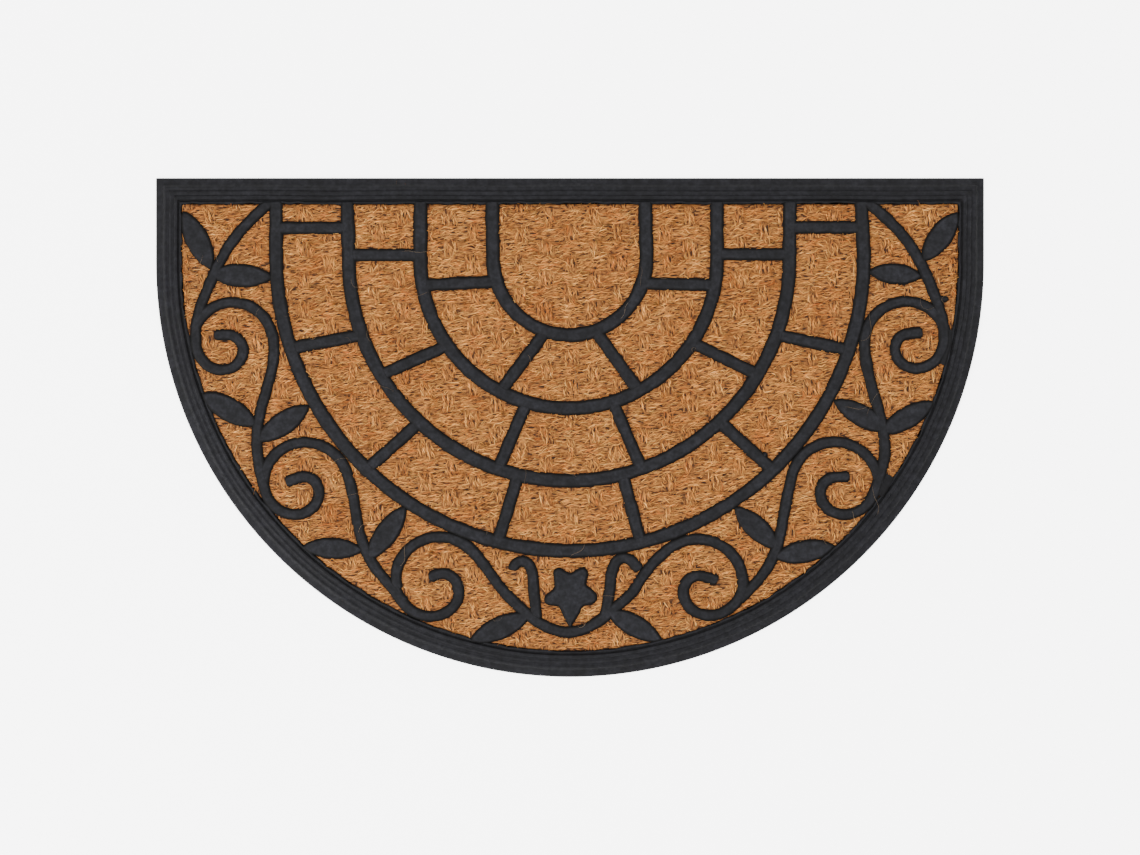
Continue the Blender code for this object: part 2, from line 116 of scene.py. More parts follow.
def piece(name, points, faces, finish, node, slot):
    """One smooth mesh object from points in millimetres, under the root body; it hides the node it
    replaces.
    """
    mesh = bpy.data.meshes.new(name)
    mesh.from_pydata((points.reshape(-1, 3) * MM).tolist(), [], faces)
    mesh.materials.append(finish)
    mesh.shade_smooth()
    obj = bpy.data.objects.new(name, mesh)
    bpy.context.collection.objects.link(obj)
    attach(obj, "root")
    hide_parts(node)
    return obj


def set_unshaded(obj, values):
    """Store for each point how much of the flat top's grey it keeps, from 0, painted shade black, to 1
    on a top.
    """
    unshaded = obj.data.attributes.new("unshaded", "FLOAT", "POINT")
    unshaded.data.foreach_set("value", np.asarray(values, dtype=np.float32).ravel())


def mat_outline(inset):
    """Half round outline at an inset: corner arc, straight edge, corner arc, side, half circle, side.

    Each has as many points at every inset, so that the outlines can be joined point by point.
    """
    side_x, top_y = OUTER_RADIUS - inset, TOP_EDGE_Y - inset
    lengths = (2 * OUTER_RADIUS, TOP_EDGE_Y - ROUND_CENTRE_Y, np.pi * OUTER_RADIUS)
    straight_count, side_count, arc_count = [int(length / OUTLINE_STEP) for length in lengths]
    quarter = np.radians(np.linspace(0, 90, 6))
    corner_x = side_x + CORNER_RADIUS * (np.cos(quarter) - 1)
    corner_y = top_y + CORNER_RADIUS * (np.sin(quarter) - 1)
    corner = np.column_stack([corner_x, corner_y])
    other = corner[::-1] * (-1, 1)
    x = np.linspace(corner[-1, 0], other[0, 0], straight_count)[1:-1]
    straight = np.column_stack([x, np.full(len(x), top_y)])
    y = np.linspace(corner[0, 1], ROUND_CENTRE_Y, side_count)[1:]
    right = np.column_stack([np.full(len(y), side_x), y])
    left = right * (-1, 1)
    angle = np.linspace(np.pi, 2 * np.pi, arc_count)[1:-1]
    arc = np.column_stack([side_x * np.cos(angle), ROUND_CENTRE_Y + side_x * np.sin(angle)])
    return np.vstack([corner, straight, other, left, arc, right[::-1]])


def waves(x, y, scale, seed):
    """Smooth unevenness, mostly from -1 to 1: the sum of eight sines in random directions, by four."""
    source = np.random.default_rng(seed)
    total = np.zeros(np.broadcast(x, y).shape)
    for angle, stretch, phase in source.uniform((0, 0.6, 0), (np.pi, 1.7, 2 * np.pi), (8, 3)):
        along = x * np.cos(angle) + y * np.sin(angle)
        total += np.sin(2 * np.pi * stretch * along / scale + phase)
    return total / 4


def border_mesh():
    """The section, smoothed by a running mean, set up at every station of the outline.

    Flat rows below it and in the pocket close to a pole each. From the outer edge in, the rows wander a
    little as they go round, the lip the most.
    """
    inset = np.concatenate([[0, 0.15, 0.35, 0.6], np.arange(1.0, POCKET_INSET, SECTION_STEP), [23.95]])
    blur = np.linspace(-SECTION_BLUR, SECTION_BLUR, 7)[:, None]
    height = np.interp(inset + blur, *BORDER_SECTION.T).mean(axis=0)
    row_inset = np.array([0.5, 0.0, *inset, POCKET_INSET, POCKET_INSET])
    row_height = np.array([0.0, 0.6, *height, 5.0, BACKING_TOP])
    plan = np.array([mat_outline(value) for value in row_inset])
    level = np.broadcast_to(row_height[:, None, None], (*plan.shape[:2], 1))
    points = np.concatenate([plan, level], axis=-1)
    x, y = points[..., 0], points[..., 1]
    inner = np.clip((row_inset - 1) / 6, 0, 1)[:, None]
    way_in = (mat_outline(LIP_INSET) - mat_outline(0)) / LIP_INSET
    lip = np.clip((row_inset - LIP_INSET) / 3, 0, 1)[:, None]
    shift = RIM_WANDER * inner * waves(x, y, 120, 1) + LIP_WANDER * lip * waves(x, y, 13, 3)
    points[..., :2] += shift[..., None] * way_in
    points[..., 2] += RIM_UNEVEN * inner * waves(x, y, 75, 2) * (points[..., 2] > 3)
    shares = np.array([0.7, 0.35])[:, None, None] * (1, 1, 0)
    under = BACKING_MIDDLE + (points[0] - BACKING_MIDDLE) * shares
    pocket = BACKING_MIDDLE + (points[-1] - BACKING_MIDDLE) * shares + (0, 0, BACKING_TOP)
    rows = np.concatenate([under[::-1], points, pocket])
    count = rows.shape[1]
    poles = np.array([BACKING_MIDDLE, BACKING_MIDDLE + (0, 0, BACKING_TOP)])
    quads = grid_quads(len(rows), count, closed=True).tolist()
    first = np.arange(count)
    after = (first + 1) % count
    last = (len(rows) - 1) * count
    pole = len(rows) * count
    fans = np.column_stack([after, first, np.full(count, pole)]).tolist()
    fans += np.column_stack([last + first, last + after, np.full(count, pole + 1)]).tolist()
    # Low shares paint shade in the grooves, on the sides and at the lip's step.
    unshaded = np.interp([0] * 4 + [*inset] + [POCKET_INSET] * 4, *BORDER_UNSHADED.T)
    unshaded = np.concatenate([np.repeat(unshaded, count), [0, 0]])
    return np.vstack([rows.reshape(-1, 3), poles]), quads + fans, unshaded


RUBBER_PATCHES = 36.0  # across, where the rubber is rubbed more or less
RUBBER_FLOW = 6.0  # flow marks of the pressing
RUBBER_BLOOM = 2.4  # specks of bloom
RUBBER_GRAIN = 1.1  # the mould's grain; the real one, of about 0.2, is too fine to show


def scale_of(size):
    """Scale at which a noise has features about this many millimetres across."""
    return 1 / (size * MM)


def rubber_material():
    """Black rubber pressed in a mould: grey on flat tops, and painted shade deep black in grooves and
    on sides.
    """
    made, tree, shader = new_material("moulded_black_rubber")
    place = add(tree, "ShaderNodeTexCoord").outputs["Object"]
    unshaded = add(tree, "ShaderNodeAttribute", attribute_name="unshaded").outputs["Fac"]
    sizes = ((RUBBER_PATCHES, 4.0), (RUBBER_GRAIN, 3.0), (RUBBER_FLOW, 3.0), (RUBBER_BLOOM, 2.0))
    patches, grain, flow, bloom = [
        add(tree, "ShaderNodeTexNoise", {"Vector": place, "Scale": scale_of(size), "Detail": detail})
        for size, detail in sizes]
    top = ramp(tree, patches.outputs["Fac"], [(0.3, "#1c1c20"), (0.7, "#29292e")])
    # Painted shade: a low share turns the rubber near black in grooves and on sides.
    black = add(tree, "ShaderNodeMix", {"Factor": unshaded}, data_type="RGBA")
    black.inputs[6].default_value = linear("#070606")
    tree.links.new(top, black.inputs[7])
    mixed = black
    for factor, stops in (
            (bloom.outputs["Fac"], [(0.36, "#d0d0d0"), (0.66, "#ffffff")]),
            (flow.outputs["Fac"], [(0.36, "#bcbcbc"), (0.66, "#ffffff")])):
        before = mixed
        mixed = add(tree, "ShaderNodeMix", {"Factor": 1.0}, data_type="RGBA", blend_type="MULTIPLY")
        tree.links.new(before.outputs[2], mixed.inputs[6])
        tree.links.new(ramp(tree, factor, stops), mixed.inputs[7])
    tree.links.new(mixed.outputs[2], shader.inputs["Base Color"])
    rough = add(tree, "ShaderNodeMapRange", {
        "Value": patches.outputs["Fac"], "From Min": 0.3, "From Max": 0.7,
        "To Min": 0.56, "To Max": 0.72})
    tree.links.new(rough.outputs["Result"], shader.inputs["Roughness"])
    fine = add(tree, "ShaderNodeBump", {
        "Height": grain.outputs["Fac"], "Distance": 0.12 * MM, "Strength": 0.5})
    soft = add(tree, "ShaderNodeBump", {
        "Height": flow.outputs["Fac"], "Distance": 0.2 * MM, "Strength": 0.4,
        "Normal": fine.outputs["Normal"]})
    tree.links.new(soft.outputs["Normal"], shader.inputs["Normal"])
    shader.inputs["Specular IOR Level"].default_value = 0.16
    return made


rubber = rubber_material()
points, faces, border_unshaded = border_mesh()
border = piece("rubber_border", points, faces, rubber, "rubber_moulding", "moulded_rubber")
set_unshaded(border, border_unshaded)


# Tracery. The ribs are pressed in the same mould as the border and stand on the coir: four arches, the
# bars between them, and vines that curl. Their sides lean in to a rounded shoulder and a flat top.
RIB_TOP = 8.0
BAR_STEP, VINE_STEP, WEB_STEP = -0.05, -0.015, -0.4  # so no two crossing tops lie in one plane
ARCH_WIDTH, BAR_WIDTH, VINE_WIDTH = 12.8, 11.7, 10.4
LEG_TOP = TOP_EDGE_Y - 22.4
ARCH_CENTRE = np.array([-1.2, 151.9])
ARCH_RADII = (69.2, 134.0, 200.2, 264.6)
ARCH_SHIFTS = (  # across, up, wider
    (1.0, 1.1, 0.2), (0.0, -0.5, 0.1), (0.4, -1.0, -1.1), (1.2, 2.3, 1.1),
)
BARS = (  # ring, polar angle of the middle, direction of the bar
    (0, -167.7, 2.7), (0, -114.2, 53.2), (0, -64.4, -54.3), (0, -12.7, -1.3), (1, -146.9, 24.0),
    (1, -107.7, 66.6), (1, -71.6, -66.6), (1, -32.4, -25.9), (2, -161.3, 10.6), (2, -133.3, 41.9),
    (2, -103.7, 73.1), (2, -75.8, -75.1), (2, -46.4, -42.3), (2, -18.8, -12.0),
)
LEVEL_BARS = (  # ring, side, place up the plan
    (1, -1, 156.0), (1, 1, 156.6), (2, -1, 180.5), (2, 1, 180.9),
)
RINGS = (  # centre, start and end radius, start and end angle; three on the left, three on the right
    (-305.2, 77.2, 35.8, 36.2, 160, 25), (-242.3, -52.2, 34.7, 42.2, 176, 15),
    (-122.1, -139.9, 34.2, 44.1, 190, 40), (303.8, 76.8, 37.1, 37.4, 15, 180),
    (238.2, -53.0, 41.6, 38.6, 3, 165), (117.8, -143.0, 38.2, 43.4, -10, 125),
)
CURLS = (  # the same six numbers, then length and direction of the tail
    (-310.6, 72.6, 27.0, 11.2, 180, 447, 11.8, 180), (-242.9, -54.4, 32.8, 9.4, 185, 460, 13.4, 200),
    (-118.3, -142.4, 40.2, 10.0, 180, 450, 10.0, 200), (308.5, 74.8, 29.1, 10.3, 0, -262, 11.8, 5),
    (241.9, -54.3, 33.9, 9.4, -5, -262, 12.4, 5), (119.1, -143.1, 38.0, 8.7, 0, -275, 14.5, -16),
)
CURL_POWER = 1.35
WAISTS = (  # knots, as in the four tables that follow: place and heading
    (-283.1, -9.5, -90), (-192.3, -84.8, -80), (-57.6, -150.5, -46),
    (284.8, -20.4, -90), (191.8, -88.4, -99), (59.5, -144.5, -121),
)
LAST_ENDS = (
    ((-171.9, -132.0, -50), (-150.0, -158.0, -48)), ((173.0, -134.5, -128), (153.0, -155.5, -138)),
)
STEMS = (
    ((-269.0, 206.0, -138), (-307.9, 164.6, -124), (-328.8, 122.9, -113)),
    ((266.0, 206.5, -40), (307.0, 165.5, -56), (330.6, 117.4, -70)),
)
CUP = ((-42.2, -165.5, -42), (-1.4, -185.0, 0), (39.0, -164.5, 42))
HOOKS = (
    ((-30.3, -172.0, 95), (-33.4, -137.0, 93), (-42.5, -121.0, 172), (-52.0, -129.2, 262)),
    ((30.5, -174.0, 75), (35.8, -147.5, 81), (49.0, -118.0, 0), (63.5, -129.0, -45)),
)
WEBS = (  # points, width; they fill narrow gaps beside a vine or a rib
    (((343.6, 88.5), (341.6, 74.0), (336.8, 57.0)), 8.0),
    (((289.6, -43.5), (285.0, -51.5), (279.0, -60.5)), 11.0),
    (((333.0, 116.2), (342.2, 116.2)), 6.5),
    (((172.5, -28.5), (178.0, -22.5)), 6.0),
)
RIB_STEP = 2.4  # between stations of a rib
CLOSE_RUN = np.array([0, 0.25, 0.7, 1.3, 2.1])  # the first and last stations, from each end
END_ROUND = 3.4  # a free end rounds off over this length
# Share of the top's grey for ribs and for webs; the webs' lower share paints them in shade, as they lie
# low.
RIB_UNSHADED, WEB_UNSHADED = 0.9, 0.4


def heading(degrees):
    """Unit vector at an angle."""
    return np.array([math.cos(math.radians(degrees)), math.sin(math.radians(degrees))])


def turn(x, y, start_radius, end_radius, start_deg, end_deg, power=1.0):
    """Spiral whose radius changes with a power of its angle, evenly at power 1."""
    share = np.linspace(0, 1, 160)
    angle = np.radians(start_deg + (end_deg - start_deg) * share)
    radius = end_radius + (start_radius - end_radius) * (1 - share) ** power
    return np.column_stack([x + radius * np.cos(angle), y + radius * np.sin(angle)])


def bend(start, end):
    """Cubic between two knots; its handles make it nearly a round arc where both ends turn alike."""
    chord = np.array(end[:2]) - start[:2]
    length = np.hypot(*chord)
    chord_deg = math.degrees(math.atan2(chord[1], chord[0]))
    turns = [(knot[2] - chord_deg + 180) % 360 - 180 for knot in (start, end)]
    handle = length / (3 * math.cos(math.radians(abs(turns[0]) + abs(turns[1])) / 4) ** 2)
    first = start[:2] + handle * heading(start[2])
    second = end[:2] - handle * heading(end[2])
    t = np.linspace(0, 1, 60)[:, None]
    a, b = np.array(start[:2]), np.array(end[:2])
    return (1 - t) ** 3 * a + 3 * t * (1 - t) ** 2 * first + 3 * t * t * (1 - t) * second + t ** 3 * b


def through(*knots):
    """One smooth line through a row of knots."""
    return np.vstack([bend(a, b)[:-1] for a, b in zip(knots, knots[1:])] + [[knots[-1][:2]]])


def knot_at(line, start):
    """The knot at a line's start or end."""
    a, b = (line[0], line[1]) if start else (line[-2], line[-1])
    x, y = a if start else b
    return (x, y, math.degrees(math.atan2(b[1] - a[1], b[0] - a[0])))


def tracery_lines():
    """Centre lines, each with its width, its small step in height, and which end is free if any."""
    lines = []
    for radius, (across, up, wider) in zip(ARCH_RADII, ARCH_SHIFTS):
        arc = turn(*(ARCH_CENTRE + (across, up)), radius + wider, radius + wider, 180, 360)
        left, right = ARCH_CENTRE[0] - radius, ARCH_CENTRE[0] + radius
        arch = np.vstack([[(left, LEG_TOP)], arc, [(right, LEG_TOP)]])
        lines.append((arch, ARCH_WIDTH, 0.0, "none"))
    for ring, polar, run in BARS:
        inner, outer = ARCH_RADII[ring], ARCH_RADII[ring + 1]
        middle = ARCH_CENTRE + heading(polar) * (inner + outer) / 2
        half = heading(run) * (outer - inner) / 2 / abs(math.cos(math.radians(run - polar)))
        lines.append((np.array([middle - half, middle + half]), BAR_WIDTH, BAR_STEP, "none"))
    for ring, side, y in LEVEL_BARS:
        ends = [(ARCH_CENTRE[0] + side * radius, y) for radius in ARCH_RADII[ring:ring + 2]]
        lines.append((np.array(ends), BAR_WIDTH, BAR_STEP, "none"))
    rings = [turn(*row) for row in RINGS]
    curls = []
    for row in CURLS:
        curl = turn(*row[:6], CURL_POWER)
        curls.append(np.vstack([curl, curl[-1] + row[6] * heading(row[7])]))
    vines, free, tails = [], [], []
    for side in (0, 1):
        ring, curl, waist = (rows[3 * side:3 * side + 3] for rows in (rings, curls, WAISTS))
        stem = through(*STEMS[side], knot_at(curl[0], True))
        vines.append(np.vstack([stem[:-1], curl[0]]))
        vine = through(knot_at(ring[0], False), waist[0], knot_at(curl[1], True))
        vines.append(np.vstack([ring[0][:-1], vine[:-1], curl[1]]))
        vine = through(knot_at(ring[1], False), waist[1], *LAST_ENDS[side])
        vines.append(np.vstack([ring[1][:-1], vine]))
        vines.append(curl[2])
        free += ["end", "end", "none", "end"]
        cup_end = CUP[0] if side == 0 else (*CUP[-1][:2], CUP[-1][2] + 180)
        vine = through(knot_at(ring[2], False), waist[2], cup_end)
        tails.append(np.vstack([ring[2][:-1], vine]))
    vines += [np.vstack([tails[0][:-1], through(*CUP)[:-1], tails[1][::-1]])]
    vines += [through(*hook) for hook in HOOKS]
    free += ["none", "end", "end"]
    for i, (vine, free_end) in enumerate(zip(vines, free)):
        lines.append((vine, VINE_WIDTH, VINE_STEP - 0.004 * (i % 5), free_end))
    for web, width in WEBS:
        lines.append((np.array(web), width, WEB_STEP, "web" if len(web) > 2 else "end"))
    return lines


def stations(line, pitch):
    """Points at even steps along a line, closer at both ends, with normals and run from each end."""
    length = np.concatenate([[0], np.cumsum(np.hypot(*np.diff(line, axis=0).T))])
    total = length[-1]
    first = CLOSE_RUN[-1] + 1.1
    inner = np.linspace(first, total - first, max(2, round((total - 2 * first) / pitch)))
    s = np.concatenate([CLOSE_RUN, inner, total - CLOSE_RUN[::-1]])
    points, ahead, behind = [
        np.column_stack([np.interp(run, length, line[:, 0]), np.interp(run, length, line[:, 1])])
        for run in (s, s + 0.6, s - 0.6)]
    along = ahead - behind
    along /= np.hypot(along[:, 0], along[:, 1])[:, None]
    return points, np.column_stack([-along[:, 1], along[:, 0]]), s, total - s


SHOULDER = np.array([  # inward from the foot, height under the top, share of the top's grey; less is painted shade on the sides
    (0.0, -2.4, 0.0), (0.12, -1.25, 0.0), (0.65, -0.8, 0.0), (1.3, -0.35, 0.0), (2.0, -0.08, 0.35),
    (2.9, 0.0, 1.0),
])


def wander(plan):
    """Plan points moved by a few tenths at most, as the edges of the moulded ribs wander."""
    x, y = plan[..., 0], plan[..., 1]
    return plan + 0.3 * np.stack([waves(x, y, 12, 5), waves(x, y, 12, 6)], axis=-1)


def rib_rows(line, width, step, free, seed):
    """Closed section set across every station; it narrows to a rounded end where the line ends free."""
    points, normals, before, after = stations(line, RIB_STEP)
    inward = np.concatenate([SHOULDER[:, 0], [4.2], SHOULDER[::-1, 0]])
    side = np.concatenate([np.ones(len(SHOULDER)), [0.0], -np.ones(len(SHOULDER))])
    height = np.concatenate([SHOULDER[:, 1], [-0.03], SHOULDER[::-1, 1]])
    half = width / 2 + 0.25 * waves(points[:, 0], points[:, 1], 45, seed)
    from_end = after if free == "end" else np.full(len(before), np.inf)
    short = np.maximum(0, END_ROUND - from_end)
    half = half - (END_ROUND - np.sqrt(np.maximum(0, END_ROUND ** 2 - short ** 2))) * 0.9
    drop = np.interp(from_end, CLOSE_RUN, [1.0, 0.6, 0.3, 0.08, 0.0])
    tuck = 0.5 * (np.maximum(0, 1 - before / 3) + np.maximum(0, 1 - after / 3) * (free == "none"))
    across = side * np.maximum(half[:, None] - inward, 0.5 - 0.1 * inward)
    z = RIB_TOP + step + height - (drop + tuck * 0.3)[:, None] * (height > -1.5)
    z = z + 0.05 * waves(points[:, 0], points[:, 1], 38, seed + 50)[:, None]
    plan = wander(points[:, None, :] + normals[:, None, :] * across[..., None])
    plan[..., 1] = np.minimum(plan[..., 1], LEG_TOP - np.abs(height) * 0.4)
    return np.concatenate([plan, z[..., None]], axis=-1)


def joined(grids):
    """Points and faces of many closed rib grids, each with its two end caps."""
    points, faces, first = [], [], 0
    for rows in grids:
        count, columns = rows.shape[:2]
        faces += (grid_quads(count, columns, closed=True) + first).tolist()
        cap = np.arange(columns)
        faces += [(cap[::-1] + first).tolist(), (cap + first + (count - 1) * columns).tolist()]
        points.append(rows.reshape(-1, 3))
        first += count * columns
    return np.vstack(points), faces


lines = tracery_lines()
grids = [rib_rows(*line, 60 + i) for i, line in enumerate(lines)]
tracery = piece("rubber_tracery", *joined(grids), rubber, "rubber_moulding", "moulded_rubber")
# The shoulder's low shares paint shade on the ribs' sides.
section_unshaded = np.concatenate([SHOULDER[:, 2], [0.92], SHOULDER[::-1, 2]])
rib_unshaded = [WEB_UNSHADED if line[3] == "web" else RIB_UNSHADED for line in lines]
set_unshaded(tracery, np.concatenate([
    np.tile(section_unshaded * share, len(grid)) for share, grid in zip(rib_unshaded, grids)]))


# Leaves and flower. They are the flat ends of the same moulding: pointed lenses on the vines and five
# round petals over the cup, with the ribs' height and rounded shoulder.
LEAVES = (  # base, tip, width
    (-323.6, 142.7, -349.8, 195.7, 21.9), (-326.5, 139.2, -268.3, 135.7, 21.4),
    (-282.3, 1.7, -333.5, 31.0, 22.1), (-283.1, -12.7, -235.9, 19.8, 21.5),
    (-186.5, -110.7, -242.4, -107.9, 19.5), (-183.4, -119.9, -148.3, -70.9, 21.1),
    (-35.7, -169.1, -90.8, -193.2, 21.2), (318.7, 150.2, 351.0, 194.8, 21.8),
    (318.7, 136.6, 269.7, 141.0, 19.4), (289.5, -3.5, 238.4, 24.8, 20.2),
    (280.4, -5.6, 329.4, 23.3, 20.4), (184.2, -117.3, 239.7, -107.0, 21.1),
    (189.4, -110.1, 148.8, -71.8, 20.7), (33.1, -165.3, 83.1, -192.9, 20.3),
)
LEAF_BLUNTNESS = 0.75
FLOWER_CENTRE = np.array([0.3, -150.5])
PETALS = (  # reach, direction, half spread, reach of the notch after it, its direction
    (27.0, 60.0, 12.0, 16.8, 31.0), (24.8, -9.0, 14.0, 16.6, -46.0), (31.0, -90.0, 4.0, 15.6, -132.0),
    (24.2, -165.0, 13.0, 15.4, -203.0), (26.6, -241.0, 10.5, 18.8, -270.0),
)


def leaf_rows(base_x, base_y, tip_x, tip_y, width):
    """Half width as a power of a parabola from base to tip; each row is drawn in by an inset."""
    base, tip = np.array([base_x, base_y]), np.array([tip_x, tip_y])
    half_length = np.hypot(*(tip - base)) / 2
    axis = (tip - base) / (2 * half_length)
    across = np.array([-axis[1], axis[0]])
    share = -np.cos(np.linspace(0, np.pi, 26))[:, None]
    bow = (1 - share ** 2) ** LEAF_BLUNTNESS
    rows = []
    for inset, level in [*SHOULDER[:, :2], (width / 2 - 0.5, -0.05)]:
        spine = (base + tip) / 2 + (half_length - 1.4 * min(inset, 4)) * share * axis
        away = (width / 2 - inset) * bow * across
        plan = wander(np.vstack([(spine - away)[:-1], (spine + away)[:0:-1]]))
        rows.append(np.column_stack([plan, np.full(len(plan), RIB_TOP - 0.03 + level)]))
    return np.array(rows)


def flower_rows():
    """Straight flanks through rounded tips and notches, softened along the edge; rows are drawn in."""
    corners = []
    for reach, direction, spread, notch_reach, notch in PETALS:
        for side, share in ((1.0, 0.92), (0.4, 1.0), (-0.4, 1.0), (-1.0, 0.92)):
            corners.append(reach * share * heading(direction + side * spread))
        corners.append(notch_reach * heading(notch))
    loop = np.array(corners + corners[:1])[::-1]
    run = np.concatenate([[0], np.cumsum(np.hypot(*np.diff(loop, axis=0).T))])
    s = np.linspace(0, run[-1], 180, endpoint=False)
    blur = np.linspace(-1.5, 1.5, 7)[:, None]
    edge = np.column_stack([
        np.interp(s + blur, run, loop[:, axis], period=run[-1]).mean(axis=0) for axis in (0, 1)])
    along = np.roll(edge, -1, axis=0) - np.roll(edge, 1, axis=0)
    along /= np.hypot(along[:, 0], along[:, 1])[:, None]
    inward = np.column_stack([-along[:, 1], along[:, 0]])
    rows = []
    for inset, level, _ in SHOULDER:
        plan = wander(FLOWER_CENTRE + edge + inward * inset)
        rows.append(np.column_stack([plan, np.full(len(plan), RIB_TOP - 0.035 + level)]))
    plan = FLOWER_CENTRE + (edge + inward * 2.4) * 0.3
    rows.append(np.column_stack([plan, np.full(len(plan), RIB_TOP - 0.06)]))
    return np.array(rows)


grids = [leaf_rows(*leaf) for leaf in LEAVES] + [flower_rows()]
leaves = piece("rubber_leaves", *joined(grids), rubber, "rubber_moulding", "moulded_rubber")
# The shoulder's low shares paint shade on the sides of the leaves and petals.
row_unshaded = np.concatenate([SHOULDER[:, 2], [0.9]])
set_unshaded(leaves, np.concatenate([np.repeat(row_unshaded, grid.shape[1]) for grid in grids]))


# Coir panel. The real one is thick coir yarn woven in a coarse basket weave: two or three upright yarns
# side by side over and under bands of three or four level yarns. The hot rubber presses it down beside
# the ribs and grips its edge. The panel's own surface is the low part between the strands; its dark
# colour there is painted shade of the gaps.
COLUMN_PITCH = 21.8
ROW_PITCH = 14.1
WARP_HALF = 6.1
COIR_EDGE = POCKET_INSET + 0.3
COIR_BOTTOM = 2.3
COIR_MEAN = 6.75
COIR_PRESS = 0.6
PRESS_FLATTENS = 0.6  # share of the weave's relief that pressing takes away
LEVEL_RISE, UPRIGHT_RISE = 0.42, 0.55  # of a yarn from its mean height where it passes over
HOLE_DEPTH = 1.3  # where the rim of a band meets the side of an upright group
GROUND_DROP = 0.2  # the panel's own surface lies this far under the strands' bed
GROUND_COLUMNS, GROUND_ROWS = 250, 145
YARN_LEVEL = ROW_PITCH / 4
YARN_UPRIGHT = 2 * WARP_HALF / 3


def weave(x, y):
    """Height over the panel's mean, whether the upright yarns are on top, and the offset from the yarn.

    Level yarns rise and fall as a cosine along x, upright ones along y, and both round off at the rims
    of their bands. Where an upright group is due to pass over a band, it is the surface. The rows and
    columns wander by a few millimetres, and the groups differ in width.
    """
    xs = x + 2.2 * waves(x, y, 110, 7) + 1.6 * waves(x, y, 25, 8)
    ys = y + 1.8 * waves(x, y, 90, 9) + 1.6 * waves(x, y, 23, 10)
    u = xs / COLUMN_PITCH
    column = np.round(u)
    du = u - column
    v = ys / ROW_PITCH
    row = np.floor(v)
    dv = v - row - 0.5
    over = (column + row) % 2 == 0
    width = WARP_HALF * (1 + 0.4 * waves(column * 13.0, row * 17.0, 40, 11))
    in_group = np.abs(du) * COLUMN_PITCH < width
    level = np.where(over, -1.0, 1.0) * LEVEL_RISE * np.cos(np.pi * du) - 0.9 * (2 * np.abs(dv)) ** 6
    across = np.abs(du) * COLUMN_PITCH / width
    upright = UPRIGHT_RISE * np.cos(np.pi * dv) - 0.2 - 0.4 * across ** 4
    top = over & in_group & (upright > level - 0.35)
    height = np.where(top, np.maximum(upright, level), level)
    beside = (np.abs(du) * COLUMN_PITCH - width - 0.4) / 1.1
    between = (0.5 - np.abs(dv)) * ROW_PITCH
    height = height - HOLE_DEPTH * np.exp(-beside ** 2 - between ** 2)
    in_band = (dv + 0.5) * 4
    from_level = (in_band - np.floor(in_band) - 0.5) * YARN_LEVEL
    in_group_run = (du * COLUMN_PITCH + width) / YARN_UPRIGHT
    from_upright = (in_group_run - np.floor(in_group_run) - 0.5) * YARN_UPRIGHT
    return height, top, np.where(top, from_upright, from_level)


def circles():
    """Circles that cover the ribs, leaves and flower: place and radius."""
    rows = []
    for line, width, _, _ in lines:
        points = stations(line, 2.0)[0]
        rows.append(np.column_stack([points, np.full(len(points), width / 2)]))
    share = np.linspace(-0.97, 0.97, 30)[:, None]
    for base_x, base_y, tip_x, tip_y, width in LEAVES:
        middle = np.array([base_x + tip_x, base_y + tip_y]) / 2
        half = np.array([tip_x - base_x, tip_y - base_y]) / 2
        rows.append(np.hstack([middle + share * half, width / 2 * (1 - share ** 2) ** LEAF_BLUNTNESS]))
    for reach, direction, spread, _, _ in PETALS:
        share = np.linspace(0, 1, 8)[:, None]
        radius = 4 + reach * math.radians(spread) * share * 0.8
        rows.append(np.hstack([FLOWER_CENTRE + share * (reach - radius) * heading(direction), radius]))
    return np.vstack(rows)


FIELD_STEP = 2.0  # of a grid that reaches a little past the panel
field_x = np.arange(-360, 361, FIELD_STEP)
field_y = np.arange(-232, 217, FIELD_STEP)


def rib_field():
    """Distance from each point of a coarse grid to the nearest rib, less than nothing under it."""
    x, y, radius = circles().T
    across = field_x[:, None] - x
    return np.array([(np.hypot(across, level - y) - radius).min(axis=1) for level in field_y])


field = rib_field()


def rib_distance(x, y):
    """The field between its grid points, by the shares of the four nearest."""
    fx = np.clip((x - field_x[0]) / FIELD_STEP, 0, len(field_x) - 1.001)
    fy = np.clip((y - field_y[0]) / FIELD_STEP, 0, len(field_y) - 1.001)
    i, j = fy.astype(int), fx.astype(int)
    a, b = fy - i, fx - j
    low = field[i, j] * (1 - b) + field[i, j + 1] * b
    high = field[i + 1, j] * (1 - b) + field[i + 1, j + 1] * b
    return low * (1 - a) + high * a


def edge_distance(x, y):
    """Distance inward from the panel's edge."""
    from_round = OUTER_RADIUS - np.hypot(x, np.minimum(y - ROUND_CENTRE_Y, 0))
    return np.minimum(from_round, TOP_EDGE_Y - y) - COIR_EDGE


def pressed(x, y):
    """Share of the press-down: one beside a rib or the border, easing to none 3.5 millimetres off."""
    away = np.minimum(rib_distance(x, y), edge_distance(x, y))
    t = np.clip((away - 0.3) / 3.2, 0, 1)
    return 1 - t * t * (3 - 2 * t)


def surface(x, y):
    """Height of the pressed weave, whether the upright yarns are on top, and the share of pressing."""
    height, top, _ = weave(x, y)
    press = pressed(x, y)
    return COIR_MEAN + height * (1 - PRESS_FLATTENS * press) - COIR_PRESS * press, top, press


